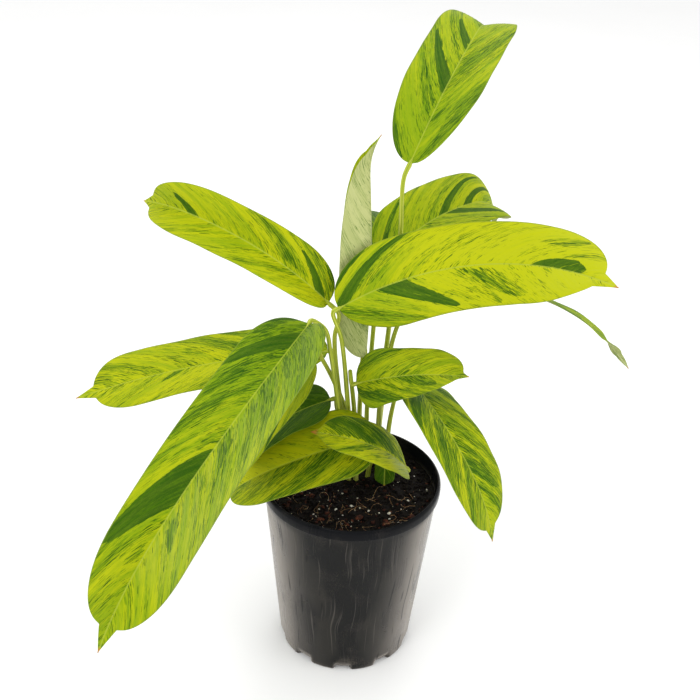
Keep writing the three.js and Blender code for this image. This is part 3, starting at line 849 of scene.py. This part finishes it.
def stalkPath(points, perSpan=24):
    # centripetal Catmull-Rom: each span is a cubic whose end slopes come from its neighbours, with the knots spaced
    # by the square root of the distances; the ends are carried on in a straight line
    points = np.asarray(points, float)
    padded = np.concatenate([[2 * points[0] - points[1]], points, [2 * points[-1] - points[-2]]])
    share = np.linspace(0, 1, perSpan, endpoint=False)[:, None]
    path = []
    for before, first, second, after in zip(padded[:-3], padded[1:-2], padded[2:-1], padded[3:]):
        gaps = [np.linalg.norm(b - a) ** 0.5 for a, b in ((before, first), (first, second), (second, after))]
        inward, through, outward = (first - before) / gaps[0], (second - first) / gaps[1], (after - second) / gaps[2]
        slopeIn = (inward - (second - before) / (gaps[0] + gaps[1]) + through) * gaps[1]
        slopeOut = (through - (after - first) / (gaps[1] + gaps[2]) + outward) * gaps[1]
        path.append(first + share * slopeIn + share ** 2 * (3 * (second - first) - 2 * slopeIn - slopeOut)
                    + share ** 3 * (2 * (first - second) + slopeIn + slopeOut))
    return np.concatenate(path + [points[-1:]])


def makeStalk(name, leaf, seed):
    # rings along the path, thinning upward and swelling at the joint, ribbed round and grooved where the sheath opens;
    # past the joint the stalk runs out beneath the midrib
    shape = stalkShape
    along, left, normal, level = (value[0] for value in bladeFrame(leaf, np.zeros(1)))
    base, foot = onMix(leaf["base"]), leaf["foot"]
    joint = base - along * leaf.get("joint", shape["jointLength"])
    knots = [onMix((*foot, -shape["buried"])), onMix((*foot, shape["collar"])), *map(onMix, leaf["via"]), joint, base]
    path = stalkPath(knots)
    travel = travelled(path)
    length = travel[-1]
    slim = leaf.get("slim", 1)
    runOut = shape["runOut"] * slim
    ahead = np.array([0.3, 0.6, 1.0]) * runOut
    tail = base + along * ahead[:, None] - normal * np.array([0.5, 0.75, 0.6])[:, None] * slim
    path = np.concatenate([path, tail])
    travel = np.concatenate([travel, length + ahead])
    place = np.linspace(0, travel[-1], shape["rings"])
    centre = joined(*(np.interp(place, travel, path[:, k]) for k in range(3)))
    tangent = unit(np.gradient(centre, axis=0))
    binormal = unit(np.cross(tangent, level))
    across = np.cross(binormal, tangent)
    share = np.clip(place / length, 0, 1)
    swell = np.clip(1 - (length - place) / shape["jointLength"], 0, 1) * (place <= length)
    neck, jointRadius = shape["neckRadius"], shape["jointRadius"]
    radius = mixed(shape["footRadius"], neck, share) + (jointRadius - neck) * swell
    past = np.clip((place - length) / runOut, 0, 1) ** 0.6
    radius = np.where(place > length, mixed(jointRadius, shape["endRadius"], past), radius) * slim
    turn = fullTurn(shape["sides"])
    sheath = (1 - eased(share, 0.3, 0.5))[:, None]
    opening = np.exp(-((np.mod(turn - 1.1 * seed + math.pi, math.tau) - math.pi) / 0.34) ** 2)
    ribs = shape["ribDepth"] * np.cos(shape["ribs"] * turn + seed) * (1 - swell)[:, None]
    waver = shape["waver"] * (softNoise(place[:, None] / 16 + seed, turn * 0 + 2, seed + 7) - 0.5)
    outline = radius[:, None] * (1 - shape["ribDepth"] + ribs + waver - shape["opening"] * sheath * opening)
    outX, outY = (outline * np.cos(turn))[..., None], (outline * np.sin(turn))[..., None]
    rings = centre[:, None] + across[:, None] * outX + binormal[:, None] * outY
    foot = (1 - eased(share, 0.12, 0.42))[:, None] + 0 * outline
    return wrappedSurface(name, rings * millimetre, centre[0] * millimetre, centre[-1] * millimetre, {"foot": foot})


for seed, (name, leaf) in enumerate(leafSet.items(), 1):
    stalkName, bladeName = "stalk." + name, "blade." + name
    addPiece(stalkName, makeStalk(stalkName, leaf, seed), [stalkSkin], ["stalk_" + name])
    bladeMesh = makeBlade(bladeName, leaf, seed)
    addPiece(bladeName, bladeMesh, [bladeTop, bladeUnder], ["leaf_" + name])
    places = np.zeros(len(bladeMesh.vertices) * 3, np.float32)
    bladeMesh.vertices.foreach_get("co", places)
    places = places.reshape(-1, 3)
    ends = np.array([places.min(0), places.max(0)]) - np.array([list(corner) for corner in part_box("leaf_" + name)])
    print("stage: %s, %.1f mm from the CAD node's box" % (name, np.abs(ends).max() / millimetre))


# potting mix
mixShape = {
    "clearance": 0.00035, "chamfer": 0.0025, "mound": 0.0025, "rings": 96, "sides": 300, "rough": 0.0011,
    "crumbs": {3: (0.011, 1.6), 4: (0.0045, 1.5), 5: (0.002, 0.9)},     # seed: (cell in metres, weight)
}
mixRadius = innerRadius(soilEdge) - mixShape["clearance"]


def mixTop(x, y):
    # the mound falls as the square of the distance, with three sizes of crumb noise on it, fading at the wall
    radius = np.hypot(x, y)
    mound = soilEdge + mixShape["mound"] * (1 - (radius / mixRadius) ** 2)
    crumbs = sum((softNoise(x / cell + 10 * (seed - 1), y / cell + 10 * (seed - 1), seed) - 0.5) * weight
                 for seed, (cell, weight) in mixShape["crumbs"].items())
    return mound + mixShape["rough"] * (crumbs - 0.2)


def makeMix(values):
    # up from the pot's floor, out along the wall, and over the crumbly top to the middle
    turn = fullTurn(values["sides"])
    bottom = potShape["floor"] + values["clearance"]
    inner = np.linspace(mixRadius, 0.0006, values["rings"])[:, None]
    x, y = inner * np.cos(turn), inner * np.sin(turn)
    top = joined(x, y, mixTop(x, y))
    walls = [(0.03, bottom), (innerRadius(bottom) - values["clearance"] - values["chamfer"], bottom)]
    walls += [(innerRadius(z) - values["clearance"], z) for z in (0.006, 0.03, 0.06, 0.09, 0.12, 0.138)]
    rings = np.concatenate([[turnedAboutZ(radius, z, turn) for radius, z in walls], top])
    return wrappedSurface("mix", rings, (0, 0, bottom), top[-1].mean(0))


def makeEarthMaterial(name, colours, coarse, fine, roughness, depth):
    material, tree, shader = newMaterial(name, Specular_IOR_Level=0.15)
    place = addNode(tree, "TexCoord").outputs["Object"]
    rough = useGroup(grain, {"Vector": place, "Coarse": coarse, "Fine": fine})
    value = rough["Value"]
    base, second, third, spots = (colour(*values) for values in colours)
    shade = mixColours(ramped(value, 0.42, 0.62), base, second)
    shade = mixColours(ramped(textureNoise(place, coarse / 5, 3.0), 0.48, 0.66), shade, third)
    shade = mixColours(rough["Spots"], shade, spots, 0.5)
    finishShader(shader, shade, ramped(value, 0.35, 0.65, roughness - 0.2, roughness), value, 0.8, depth)
    return material


# base, second and third colours and the spots'; coarse and fine noise scales, roughness, depth of the bump
earthLook = {
    "mixEarth": (((9, 6, 5), (26, 19, 16), (16, 11, 9), (62, 46, 36)), 420.0, 1500.0, 0.9, 0.0008),
    "barkSkin": (((38, 19, 14), (96, 50, 34), (56, 28, 20), (138, 92, 66)), 380.0, 1400.0, 0.85, 0.0005),
    "perliteSkin": (((206, 200, 188), (240, 236, 228), (222, 214, 198), (150, 136, 118)), 700.0, 2000.0, 0.9, 0.0003),
    "rootSkin": (((150, 112, 78), (206, 174, 132), (120, 84, 56), (226, 206, 170)), 500.0, 1500.0, 0.8, 0.0002),
}
mixEarth, barkSkin, perliteSkin, rootSkin = (makeEarthMaterial(name, *look) for name, look in earthLook.items())
addPiece("pottingMix", makeMix(mixShape), [mixEarth], ["soil"])


def ballTemplate(subdivisions):
    shell = bmesh.new()
    bmesh.ops.create_icosphere(shell, subdivisions=subdivisions, radius=0.5)
    points = np.array([v.co for v in shell.verts])
    faces = np.array([[v.index for v in f.verts] for f in shell.faces])
    shell.free()
    return points, faces


def makeChips(name, places, sizes, turns, template, uneven, seed):
    # one ball for each chip, its points pushed in and out at random, stretched to size, turned about Z and set down
    points, faces = template
    random = np.random.default_rng(seed)
    count = len(places)
    pushed = 1 + uneven * (random.random((count, len(points), 1)) - 0.5)
    shapes = points[None] * pushed * np.asarray(sizes)[:, None]
    tilt = (random.random((count, 2)) - 0.5) * 0.5
    x, y, z = shapes[..., 0], shapes[..., 1], shapes[..., 2]
    z = z + x * tilt[:, :1] + y * tilt[:, 1:]
    cos, sin = np.cos(turns)[:, None], np.sin(turns)[:, None]
    shapes = np.stack([x * cos - y * sin, x * sin + y * cos, z], -1) + np.asarray(places)[:, None]
    allFaces = faces[None] + (np.arange(count) * len(points))[:, None, None]
    return buildMesh(name, shapes.reshape(-1, 3), None, allFaces.reshape(-1, 3))


scatterSet = {"reach": 0.955, "fromStalks": 0.004, "flatness": (1.0, 0.72, 0.5), "sunk": 0.15}


def scatter(count, seed, smallest, largest, inFront):
    # random places over the mix, clear of the stalks, thicker towards the front by inFront
    random = np.random.default_rng(seed)
    radius = mixRadius * scatterSet["reach"] * np.sqrt(random.random(count * 4))
    turn = random.random(count * 4) * math.tau
    x, y = radius * np.cos(turn), radius * np.sin(turn)
    feet = np.array([leaf["foot"] for leaf in leafSet.values()]) * millimetre
    fromStalks = np.min(np.hypot(x[:, None] - feet[:, 0], y[:, None] - feet[:, 1]), axis=1)
    clear = fromStalks > scatterSet["fromStalks"]
    kept = clear & (random.random(count * 4) < 1 - inFront * eased(y, -0.03, 0.03))
    x, y = x[kept][:count], y[kept][:count]
    size = mixed(smallest, largest, random.random(len(x)) ** 2)[:, None] * (0.75 + 0.5 * random.random((len(x), 3)))
    size = size * np.array(scatterSet["flatness"])
    places = np.stack([x, y, mixTop(x, y) + size[:, 2] * (0.5 - scatterSet["sunk"])], -1)
    return places, size, random.random(len(x)) * math.tau


chipSet = {
    # material, slot, count, smallest and largest size, how much thicker in front, seed
    "mixCrumbs": (mixEarth, "mix", 1900, 0.0010, 0.0045, 0.0, 11),
    "barkBits": (barkSkin, "bark", 150, 0.0012, 0.005, 0.7, 12),
    "perliteBits": (perliteSkin, "perlite", 90, 0.0007, 0.0020, 0.75, 13),
}
for name, (material, slotName, count, low, high, front, seed) in chipSet.items():
    places, size, turns = scatter(count, seed, low, high, front)
    addPiece(name, makeChips(name, places, size, turns, ballTemplate(1), 0.6, seed), [material])

# the CAD's own chips and grains, each broken into a rough lump in the same place
for start, material, slotName, prefix in (("bark_", barkSkin, "bark", "barkChip."),
                                          ("perlite_", perliteSkin, "perlite", "perliteGrain.")):
    for index, node in enumerate(sorted(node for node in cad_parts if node.startswith(start)), 1):
        low, high = (np.array(corner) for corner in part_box(node))
        middle, extent = (low + high) / 2, high - low
        middle[2] = mixTop(middle[0], middle[1]) + extent[2] * 0.3
        name = prefix + str(index)
        mesh = makeChips(name, [middle], [extent * 1.02], np.array([0.0]), ballTemplate(3), 0.16, 50 + index)
        addPiece(name, mesh, [material], [node])


def makeRoots(count, seed):
    # fine fibres: each is an arc whose bend changes along it, lying a little above the mix, with a thin round section
    random = np.random.default_rng(seed)
    steps, sides = 18, 5
    start = random.random(count) * math.tau
    radius = mixRadius * (0.35 + 0.55 * random.random(count))
    angle = -math.pi / 2 + (random.random(count) - 0.5) * 2.6
    x0, y0 = radius * np.cos(angle), radius * np.sin(angle)
    length = 0.006 + 0.014 * random.random(count)
    share = np.linspace(0, 1, steps)
    bend = start[:, None] + (random.random((count, 1)) - 0.5) * 6 * share
    bend = bend + (random.random((count, 1)) - 0.5) * 5 * share ** 2
    stepLength = length[:, None] / steps
    x = x0[:, None] + np.cumsum(np.cos(bend) * stepLength, axis=1)
    y = y0[:, None] + np.cumsum(np.sin(bend) * stepLength, axis=1)
    inside = np.minimum(1, mixRadius * 0.97 / np.maximum(np.hypot(x, y), 1e-6))
    x, y = x * inside, y * inside
    z = mixTop(x, y) + 0.0004 + 0.0022 * random.random((count, 1)) * np.sin(math.pi * share)
    centre = np.stack([x, y, z], -1)
    tangent = unit(np.gradient(centre, axis=1))
    across = unit(np.cross(tangent, np.array([0.0, 0, 1])))
    up = np.cross(across, tangent)
    turn = fullTurn(sides)
    thick = (0.00009 + 0.00012 * random.random((count, 1))) * (1 - 0.6 * share)
    ring = across[:, :, None] * np.cos(turn)[:, None] + up[:, :, None] * np.sin(turn)[:, None]
    points = centre[:, :, None] + ring * thick[..., None, None]
    number = np.arange(count * steps * sides).reshape(count, steps, sides)
    following = np.roll(number, -1, axis=2)
    quads = joined(number[:, :-1], number[:, 1:], following[:, 1:], following[:, :-1]).reshape(-1, 4)
    firsts = (number.size + np.arange(count))[:, None]
    caps = np.concatenate([joined(firsts, number[:, 0], following[:, 0]).reshape(-1, 3),
                           joined(firsts + count, following[:, -1], number[:, -1]).reshape(-1, 3)])
    allPoints = np.concatenate([points.reshape(-1, 3), centre[:, 0], centre[:, -1]])
    return buildMesh("fineRoots", allPoints, quads, caps)


addPiece("fineRoots", makeRoots(60, 21), [rootSkin])
print("stage: potting mix made")


# floor, world and lights
floorLook = {"light": (0.93, 0.93, 0.925, 1.0), "shade": (0.92, 0.92, 0.915, 1.0), "radii": (0.2, 0.6, 1.5, 4, 10)}


def makeFloor():
    material, tree, shader = newMaterial("floorPaper", Roughness=0.9, Specular_IOR_Level=0.1)
    place = addNode(tree, "TexCoord").outputs["Object"]
    shade = mixColours(ramped(textureNoise(place, 3.0, 2.0), 0.3, 0.7), floorLook["light"], floorLook["shade"])
    fillSockets(shader, {"Base Color": shade})
    turn = fullTurn(96)
    rings = turnedAboutZ(np.array(floorLook["radii"])[:, None], 0, turn)
    number = np.arange(len(rings) * len(turn)).reshape(len(rings), -1)
    following = np.roll(number, -1, axis=1)
    quads = joined(number[:-1], number[1:], following[1:], following[:-1]).reshape(-1, 4)
    middle = joined(number.size, number[0], following[0])
    mesh = buildMesh("floor", np.concatenate([rings.reshape(-1, 3), [(0, 0, 0)]]), quads, middle)
    mesh.materials.append(material)
    addObject("floor", mesh)


lightSet = {
    "key": {"place": (-1.1, -1.3, 1.9), "size": 1.4, "watts": 20},
    "side": {"place": (1.5, -0.5, 1.1), "size": 1.2, "watts": 7},
    "back": {"place": (0.3, 1.4, 1.8), "size": 1.2, "watts": 8},
}
skyLook = {"Color": (1.0, 1.0, 1.0, 1.0), "Strength": 1.0}
lightTarget = (0, 0, 0.2)


def makeLights():
    world = bpy.data.worlds.new("studio")
    world.use_nodes = True
    fillSockets(world.node_tree.nodes["Background"], skyLook)
    bpy.context.scene.world = world
    target = Vector(lightTarget)
    for name, values in lightSet.items():
        data = bpy.data.lights.new(name, "AREA")
        data.shape = "DISK"
        data.size = values["size"]
        data.energy = values["watts"]
        lamp = addObject(name, data)
        lamp.location = values["place"]
        lamp.rotation_euler = (target - Vector(values["place"])).to_track_quat("-Z", "Y").to_euler()


makeFloor()
makeLights()
bpy.context.scene.view_settings.view_transform = "Standard"
print("stage: floor and lights made")
